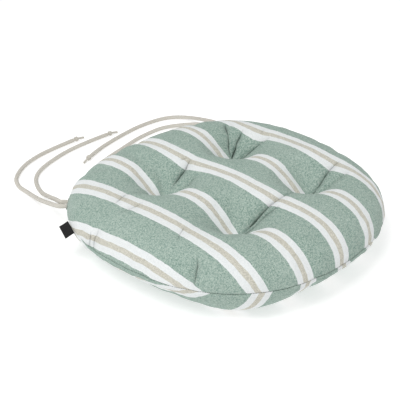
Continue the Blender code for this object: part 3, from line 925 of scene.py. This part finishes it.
def from_path(flat, path):
    """How far flat points are from a path given in mm, its depth there, and the way back to it."""
    line = np.array(path, float) * MM
    best = np.full(len(flat), 9.0)
    depth = np.zeros(len(flat))
    towards = np.zeros((len(flat), 2))
    for start, end in zip(line, line[1:]):
        along = end[:2] - start[:2]
        share = np.clip((flat - start[:2]) @ along / (along @ along), 0, 1)
        offset = start[:2] + share[:, None] * along - flat
        away = np.linalg.norm(offset, axis=1)
        closer = away < best
        best[closer] = away[closer]
        depth[closer] = (start[2] + share * (end[2] - start[2]))[closer]
        towards[closer] = (offset / np.maximum(away, 1e-9)[:, None])[closer]
    return best, depth, towards


def smoothstep(low, high, value):
    share = np.clip((value - low) / (high - low), 0, 1)
    return share * share * (3 - 2 * share)


class Panel:
    """One cover's shape: the settled cloth, brought to the seam's own line and to the floor."""

    def __init__(self, surface, top):
        self.surface, self.top = surface, top
        angles = np.arange(RIM_COUNT) * math.tau / RIM_COUNT
        ring = [(cut_radius(a) * math.cos(a), cut_radius(a) * math.sin(a)) for a in angles]
        target = np.array([tuple(seam_target(a)) for a in angles])
        shift = target - self.settled(ring)
        self.angles = np.append(angles, math.tau)
        self.shift = np.vstack([shift, shift[:1]])

    def settled(self, flat):
        places = self.surface.at(flat)
        if self.top:
            places[:, 2] = SEAM_HEIGHT + (places[:, 2] - SEAM_HEIGHT) * TOP_RISE
        return places

    def places(self, flat):
        """Where the flat points lie, with the broad valleys but not the sharp folds."""
        flat = np.asarray(flat, float)
        places = self.settled(flat)
        angles = np.arctan2(flat[:, 1], flat[:, 0]) % math.tau
        reach = np.hypot(flat[:, 0], flat[:, 1]) / np.array([cut_radius(a) for a in angles])
        moved = np.stack([np.interp(angles, self.angles, self.shift[:, k]) for k in range(3)], axis=1)
        places += moved * smoothstep(0.5, 1.0, reach)[:, None]
        for width, path in TOP_VALLEYS if self.top else BOTTOM_VALLEYS:
            away, depth, _ = from_path(flat, path)
            pull = depth * np.exp(-((away / (width * MM)) ** 2)) * (1 - smoothstep(0.96, 1.0, reach))
            places[:, 2] += -pull if self.top else pull
        if not self.top:
            turn = (angles - BOTTOM_CORNER + math.pi) % math.tau - math.pi
            tucked = BOTTOM_TUCK * (1 - np.exp(-((turn / BOTTOM_CORNER_WIDTH) ** 2)))
            places[:, 2] += tucked * smoothstep(0.62, 0.84, reach) * (1 - smoothstep(0.88, 1.0, reach))
            low = places[:, 2] < FLOOR_SOFTNESS
            places[low, 2] = FLOOR_SOFTNESS * np.exp(places[low, 2] / FLOOR_SOFTNESS - 1)
        return places


def special_points(folds):
    """Points the mesh has for certain: ((x, y, clear radius), ...) and the edges between them."""
    found, edges, taken = [], [], {}

    def add(x, y, clear):
        key = (round(x / SAME_POINT), round(y / SAME_POINT))
        if key not in taken:
            taken[key] = len(found)
            found.append((x, y, clear))
        return taken[key]

    for x, y in tuft_places():
        add(x, y, 0.0010)
    for path in folds:
        points = [Vector((x * MM, y * MM, 0)) for x, y, _ in path]
        line = smooth_line(points, FOLD_STEP)[:, :2]
        centre = [add(x, y, 0.0008) for x, y in line]
        edges += [(a, b) for a, b in zip(centre, centre[1:]) if a != b]
        heading = np.gradient(line, axis=0)
        heading /= np.linalg.norm(heading, axis=1)[:, None]
        across = np.stack([-heading[:, 1], heading[:, 0]], axis=1)
        for offset in FOLD_ROWS:
            near = offset < 0.003
            for side in (-1, 1):
                for x, y in (line + across * offset * side)[::1 if near else 2]:
                    add(x, y, 0.0010 if near else 0.0018)
    for x, y in tuft_places():
        for radius, count in TUFT_RINGS:
            for k in range(count):
                angle = math.tau * (k + 0.5) / count
                add(x + radius * math.cos(angle), y + radius * math.sin(angle), 0.0015)
    for inset, half_step in RIM_ROWS:
        for k in range(RIM_COUNT):
            angle = math.tau * (k + half_step) / RIM_COUNT
            reach = cut_radius(angle) - inset
            add(reach * math.cos(angle), reach * math.sin(angle), 0.0022)
    inside = [math.hypot(x, y) < cut_radius(math.atan2(y, x)) - 0.0008 for x, y, _ in found]
    renumber = np.cumsum(inside) - 1
    return (
        [point for point, keep in zip(found, inside) if keep],
        [(int(renumber[a]), int(renumber[b])) for a, b in edges if inside[a] and inside[b]],
    )


def gathered_by(away, taken):
    """How far cloth moves towards a crease that swallows some of it, and how steeply it sinks."""
    pull = taken * np.tanh(away / taken) * np.exp(-np.maximum(away - taken, 0) / FOLD_EASE)
    return pull, np.exp(-1.1 * (away / taken) ** 1.3)


def shaded_by(away, width, spread):
    """How much painted shade a crease gets: a dark line that fades out to its sides."""
    return np.maximum(np.exp(-((away / width) ** 2)), 0.5 * np.exp(-away / spread))


def folded(flat, folds):
    """How folds and tufts gather the cloth: (moved flat points, depth sunk, share of painted crease shade)."""
    moved = flat.copy()
    sunk, hollow, painted_crease_shade = (np.zeros(len(flat)) for _ in range(3))
    for path in folds:
        away, depth, towards = from_path(flat, path)
        pull, sinks = gathered_by(away, np.maximum(FOLD_TAKES * depth, 1e-6))
        moved += towards * np.where(depth > 0, pull, 0)[:, None]
        sunk = np.maximum(sunk, FOLD_SINKS * depth * sinks)
        hollow = np.maximum(hollow, FOLD_HOLLOW * depth * np.exp(-away / FOLD_HOLLOW_WIDTH))
        # Painted shade along the fold's crease, stronger the deeper the fold
        shaded = shaded_by(away, CREASE_WIDTH, 2.8 * CREASE_WIDTH)
        painted_crease_shade = np.maximum(painted_crease_shade, np.clip(depth / FULL_CREASE, 0, 1) * shaded)
    for x, y in tuft_places():
        offset = np.array((x, y)) - flat
        away = np.maximum(np.linalg.norm(offset, axis=1), 1e-9)
        pull, sinks = gathered_by(away, TUFT_TAKES)
        moved += offset / away[:, None] * pull[:, None]
        sunk = np.maximum(sunk, TUFT_SINKS * sinks)
        hollow = np.maximum(hollow, TUFT_HOLLOW * np.exp(-away / TUFT_HOLLOW_WIDTH))
        # Painted shade: a dark spot round each tuft, where shade falls
        painted_crease_shade = np.maximum(painted_crease_shade, shaded_by(away, 1.6 * CREASE_WIDTH, 3.5 * CREASE_WIDTH))
    return moved, sunk + hollow, painted_crease_shade


def printed(flat, top):
    """The cut's coordinates with X measured from the middle beige stripe, in the pattern's terms.

    The grain drifts a little over the cut, as on a real one, and the two covers don't match.
    """
    u, v = flat[:, 0] - (0.0 if top else BOTTOM_MISMATCH), flat[:, 1] * 10
    drift = sum(share * v ** power for power, share in enumerate(GRAIN_DRIFT))
    repeats = (u - drift) / (STRIPE_REPEAT + GRAIN_SPREAD * v)
    return np.stack([repeats * STRIPE_REPEAT, flat[:, 1]], axis=1)


def rolled_edge(flat, places, ring, side):
    """Sets the rim's ring on the seam, and returns the rings that roll in behind it."""
    start, spare, loops = len(places), [], [ring]
    for row, (inward, up, extra) in enumerate(EDGE_ROLL):
        for k, i in enumerate(ring):
            angle = math.tau * k / RIM_COUNT
            target = seam_target(angle)
            place = target - rim_point(angle)[1] * inward
            place.z = target.z + side * up
            if row:
                spare.append((*place, *(flat[i] * (1 + extra / cut_radius(angle)))))
            else:
                places[i] = tuple(place)
        if row:
            first = start + (row - 1) * RIM_COUNT
            loops.append(list(range(first, first + RIM_COUNT)))
    faces = []
    for outer, inner in zip(loops, loops[1:]):
        for k in range(RIM_COUNT):
            n = (k + 1) % RIM_COUNT
            faces += [(outer[k], inner[k], inner[n]), (outer[k], inner[n], outer[n])]
    spare = np.array(spare)
    return spare[:, :3], spare[:, 3:], faces


def make_cover(name, panel, material):
    """One cover: a fine mesh over the flat cut, set on the panel, folded, and rolled at its edge."""
    top = panel.top
    side = 1.0 if top else -1.0
    folds = TOP_FOLDS if top else BOTTOM_FOLDS
    special, edges = special_points(folds)
    inner = [(x, y) for x, y, _ in special] + lattice(PANEL_STEP, PANEL_MARGIN, 11, special)
    flat, faces, ring, _ = triangulated(RIM_COUNT, inner, edges)
    gathered, sunk, painted_crease_shade = folded(flat, folds)
    places = panel.places(gathered)
    normals = vertex_normals(panel.places(flat), faces) * side
    ripple = np.array([
        noise.noise(Vector((x * 42, y * 42, 3.0 if top else 9.0))) * 0.0006
        + noise.noise(Vector((x * 110, y * 110, 5.0))) * 0.00022 for x, y in flat])
    places = places - normals * (sunk + ripple)[:, None]
    if not top:
        places[:, 2] = np.maximum(places[:, 2], 0.0)
    edge_places, edge_flat, edge_faces = rolled_edge(flat, places, ring, side)
    places, flat = np.vstack([places, edge_places]), np.vstack([flat, edge_flat])
    faces = faces + edge_faces
    if not top:
        faces = [face[::-1] for face in faces]
    cover = add_mesh(name, places, faces, material)
    set_uv(cover.data, "cut", printed(flat, top))
    # Painted shade of the folds and tufts, carried to the material in the UV map "crease"
    shade = np.zeros((len(flat), 2))
    shade[:len(painted_crease_shade), 0] = painted_crease_shade
    set_uv(cover.data, "crease", shade)
    cloth = cover.modifiers.new("fabric thickness", "SOLIDIFY")
    cloth.thickness = FABRIC_THICKNESS
    cloth.offset = -1.0
    return cover


sewn = inflated()
top_panel, bottom_panel = Panel(Surface(sewn, 0), True), Panel(Surface(sewn, 1), False)
bpy.data.objects.remove(sewn)
top_cover = make_cover("cover_top", top_panel, TOP_FABRIC)
bottom_cover = make_cover("cover_bottom", bottom_panel, BOTTOM_FABRIC)


# ---------------------------------------------------------------- filling, seam, tufts, tacks, label

SEAM_STITCH = 0.0028          # length of one lockstitch
SEAM_THREAD_RADIUS = 0.00042
SEAM_THREAD_INSET = 0.0010    # the thread lies this far inside the covers' edge
FILLING_INSET = 0.0042
FILLING_CLEARANCE = 2.6       # it stays this much deeper under a fold, per unit of the fold's depth
FILLING_FLUFF = 0.0011
FILLING_GRID = (20, 96)       # rings, and points round each
FILLING_REACH = 0.965         # how much of the flat cut's radius the filling takes
TUFT_THREAD_RADIUS = 0.00065
TUFT_LEG = 0.0019             # from the middle of a tuft to each leg of its thread
TUFT_BITE = 0.0012            # how far the thread's bend at a leg may sink below its middle
TACK_PASSES = 30
TACK_THREAD_RADIUS = 0.00032
LABEL_SHOWN = 0.88            # the tape is a little smaller than its CAD block


def make_seam_stitching():
    """The line of lockstitches that closes the edge, dipping between the covers at every stitch."""
    around = math.tau * RADIUS
    stitches = round(around / SEAM_STITCH)
    steps = stitches * 5
    line = []
    for k in range(steps):
        angle = math.tau * k / steps
        dip = 0.5 - 0.5 * math.cos(math.tau * stitches * k / steps)
        place = seam_target(angle) - rim_point(angle)[1] * (SEAM_THREAD_INSET + 0.00045 * dip ** 2)
        place.z += 0.00012 * math.sin(math.tau * stitches * k / steps)
        line.append(tuple(place))
    return tube("seam_stitching", line, SEAM_THREAD_RADIUS, 6, SEAM_THREAD, closed=True)


def make_filling():
    """The fibre body inside the covers, a little smaller than they are, with a fluffy skin."""
    rings, turns = FILLING_GRID
    flat = [(0.0, 0.0)]
    for ring in range(1, rings + 1):
        share = FILLING_REACH * math.sin(math.pi / 2 * ring / rings) ** 0.9
        for k in range(turns):
            angle = math.tau * k / turns
            reach = cut_radius(angle) * share
            flat.append((reach * math.cos(angle), reach * math.sin(angle)))
    flat = np.array(flat)
    disc = [(0, 1 + k, 1 + (k + 1) % turns) for k in range(turns)]
    for low in range(1, 1 + (rings - 1) * turns, turns):
        for k in range(turns):
            n, high = (k + 1) % turns, low + turns
            disc += [(low + k, high + k, high + n), (low + k, high + n, low + n)]
    layers = []
    for panel in (top_panel, bottom_panel):
        places = panel.places(flat)
        side = 1.0 if panel.top else -1.0
        fluff = np.array([noise.noise(Vector((x * 70, y * 70, 2.0 + side))) for x, y in flat])
        cleared = np.zeros(len(flat))
        for path in TOP_FOLDS if panel.top else BOTTOM_FOLDS:
            away, depth, _ = from_path(flat, path)
            spread = 1 - smoothstep(0.012, 0.024, away)
            cleared = np.maximum(cleared, FILLING_CLEARANCE * depth * spread)
        for x, y in tuft_places():
            away = np.linalg.norm(flat - (x, y), axis=1)
            cleared = np.maximum(cleared, 0.013 * (1 - smoothstep(0.012, 0.026, away)))
        inset = FILLING_INSET + FILLING_FLUFF * fluff + cleared
        layers.append(places - vertex_normals(places, disc) * side * inset[:, None])
    size, rim = len(flat), 1 + (rings - 1) * turns
    faces = disc + [tuple(size + i for i in face[::-1]) for face in disc]
    for k in range(turns):
        n = (k + 1) % turns
        faces.append((rim + k, size + rim + k, size + rim + n, rim + n))
    filling = add_mesh("fibre_fill", np.vstack(layers), faces, FIBRE)
    return filling


def cover_tree(cover):
    return BVHTree.FromObject(cover, bpy.context.evaluated_depsgraph_get())


def bridge(tree, x, y, top):
    """The stretch of a tuft's thread that lies on one cover, from one leg to the other."""
    outward = 1 if top else -1
    points = []
    for share in np.linspace(-1, 1, 7) * outward:
        start = Vector((x + TUFT_LEG * share, y, 0.2 * outward))
        sit = tree.ray_cast(start, Vector((0, 0, -outward)))[0].z
        raised = TUFT_THREAD_RADIUS * (1.1 - 1.5 * share ** 4)
        points.append(Vector((x + TUFT_LEG * share, y, sit + outward * raised)))
    crest = max(outward * p.z for p in points)
    for p in points:
        p.z = outward * max(outward * p.z, crest - TUFT_BITE)
    return points


def make_tuft_thread(name, x, y, trees):
    """One tuft's thread: over the cloth above, down a leg, under the cloth below, and back up."""
    above, below = bridge(trees[0], x, y, True), bridge(trees[1], x, y, False)
    legs = []
    for side, high, low in ((1, above[-1].z, below[0].z), (-1, above[0].z, below[-1].z)):
        heights = np.linspace(high, low, 12)[1:-1]
        legs.append([Vector((x + side * TUFT_LEG * 1.05, y, z)) for z in heights])
    loop = above + legs[0] + below + legs[1][::-1]
    line = respaced(loop + [loop[0]], 0.0008)[:-1]
    return tube(name, line, TUFT_THREAD_RADIUS, 8, TUFT_THREAD, closed=True)


def make_bartack(side):
    """The dense zigzag that anchors one pair of ties, wound over the edge of the seam."""
    length, height = BARTACK_SIZE[1], BARTACK_SIZE[2]
    line = []
    for k in range(2 * TACK_PASSES + 1):
        share = k / (2 * TACK_PASSES)
        middle, normal = rim_point(math.radians(TIE_ANGLES[side]))
        along = Vector((-normal.y, normal.x, 0)) * (share - 0.5) * length
        up = 1 if k % 2 else -1
        loose = noise.noise(Vector((k * 1.7, 3.0 if side == "left" else 8.0, 0.5)))
        for lift, outward in ((0.25, 0.00125), (0.85, 0.00095), (1.0, 0.0003)):
            place = middle + along + normal * (outward + 0.0001 * loose)
            place.z += up * lift * height / 2 * (1 + 0.06 * loose)
            line.append(tuple(place))
    return tube(f"bartack_{side}", line, TACK_THREAD_RADIUS, 6, TACK_THREAD)


def make_label_tape():
    """A folded woven tape, sewn into the seam: two plies with a round fold at the free edge."""
    reach, width, thick = LABEL_SIZE
    root, normal = rim_point(math.radians(LABEL_ANGLE), 3 * CLEARANCE)
    along_seam = Vector((-normal.y, normal.x, 0))
    droop = normal * math.cos(LABEL_DROOP) - Vector((0, 0, math.sin(LABEL_DROOP)))
    lift = along_seam.cross(droop)
    ply = thick * 0.42
    fold = thick / 2
    profile = []
    for share in np.linspace(-0.04, 1.0, 15):
        profile.append((share * (reach - fold), fold - 0.00018 * math.sin(math.pi * max(share, 0))))
    for turn in np.linspace(80, -80, 9):
        angle = math.radians(turn)
        profile.append((reach - fold + fold * math.cos(angle), fold * math.sin(angle)))
    for share in np.linspace(1.0, -0.04, 15):
        profile.append((share * (reach - fold), -fold + 0.00018 * math.sin(math.pi * max(share, 0))))
    outline = np.array(profile)
    heading = np.gradient(outline, axis=0)
    heading /= np.linalg.norm(heading, axis=1)[:, None]
    inner = outline - np.stack([-heading[:, 1], heading[:, 0]], axis=1) * -ply
    section = np.vstack([outline, inner[::-1]])
    metres = np.concatenate([[0], np.cumsum(np.linalg.norm(np.diff(section, axis=0), axis=1))])
    rows = 34
    points, tape = [], []
    for row in range(rows + 1):
        across = (row / rows - 0.5) * width * LABEL_SHOWN
        selvage = 1.0 - 0.10 * max(0.0, abs(row / rows - 0.5) - 0.46) / 0.04
        curl = 0.0005 * (2 * row / rows - 1) ** 2 + 0.0003 * math.sin(5.0 * row / rows)
        for (out, up), metre in zip(section, metres):
            free = (max(out, 0.0) / reach) ** 2
            place = root + droop * (out * LABEL_SHOWN) + lift * (up * selvage - curl * free) + along_seam * across
            points.append(tuple(place))
            tape.append((across, metre))
    size = len(section)
    faces = []
    for row in range(rows):
        for k in range(size):
            n = (k + 1) % size
            faces.append((row * size + k, row * size + n, (row + 1) * size + n, (row + 1) * size + k))
    for row in (0, rows):
        for k in range(len(outline) - 1):
            quad = (row * size + k, row * size + size - 1 - k, row * size + size - 2 - k, row * size + k + 1)
            faces.append(quad if row == 0 else quad[::-1])
    label = add_mesh("label_tape", points, faces, LABEL_TAPE)
    label.data.set_sharp_from_angle(angle=math.radians(50))
    set_uv(label.data, "tape", tape)
    return label


seam_stitching = make_seam_stitching()
fibre_fill = make_filling()
cover_trees = (cover_tree(top_cover), cover_tree(bottom_cover))
tuft_names = ("front_left", "front_right", "rear_left", "rear_right")
tuft_threads = [
    make_tuft_thread(f"tuft_thread_{name}", x, y, cover_trees)
    for name, (x, y) in zip(tuft_names, tuft_places())]
bartacks = [make_bartack(side) for side in ("left", "right")]
label_tape = make_label_tape()

for piece, node, slot, body in (
    (top_cover, "top_cover", "striped_fabric", "pad"),
    (bottom_cover, "bottom_cover", "underside_fabric", "pad"),
    (fibre_fill, "fibre_filling", "polyester_fibre", "pad"),
    (seam_stitching, "edge_seam_thread", "sewing_thread", "pad"),
    *((piece, f"tuft_stitch_{name}", "sewing_thread", "pad") for piece, name in zip(tuft_threads, tuft_names)),
    *((piece, f"tie_bartack_{side}", "sewing_thread", "pad") for piece, side in zip(bartacks, ("left", "right"))),
    (label_tape, "side_label", "woven_label", "label"),
):
    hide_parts(node)
    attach(piece, body)


# ---------------------------------------------------------------- floor and light

def make_stage():
    floor = add_mesh(
        "floor", [(-8, -8, 0), (8, -8, 0), (8, 8, 0), (-8, 8, 0)], [(0, 1, 2, 3)], smooth=False)
    floor.location.z = -0.0004
    n = Nodes("pale_floor")
    n.shader.inputs["Base Color"].default_value = (0.62, 0.62, 0.62, 1.0)
    n.shader.inputs["Emission Color"].default_value = (1.0, 1.0, 1.0, 1.0)
    n.shader.inputs["Emission Strength"].default_value = 0.55
    n.shader.inputs["Roughness"].default_value = 0.9
    n.shader.inputs["Specular IOR Level"].default_value = 0.1
    floor.data.materials.append(n.material)
    world = bpy.data.worlds.new("studio")
    world.use_nodes = True
    background = world.node_tree.nodes["Background"]
    background.inputs[0].default_value = (1.0, 1.0, 1.0, 1.0)
    background.inputs[1].default_value = 0.50
    bpy.context.scene.world = world
    for name, place, size, energy in (
        ("key", (-1.1, -0.1, 2.1), 1.2, 33.0),
        ("fill", (0.9, -1.7, 1.5), 1.6, 4.0),
    ):
        light = bpy.data.lights.new(name, "AREA")
        light.size = size
        light.energy = energy
        lamp = bpy.data.objects.new(name, light)
        bpy.context.scene.collection.objects.link(lamp)
        lamp.location = place
        lamp.rotation_euler = Vector(place).to_track_quat("Z", "Y").to_euler()
    bpy.context.scene.view_settings.view_transform = "Standard"


make_stage()
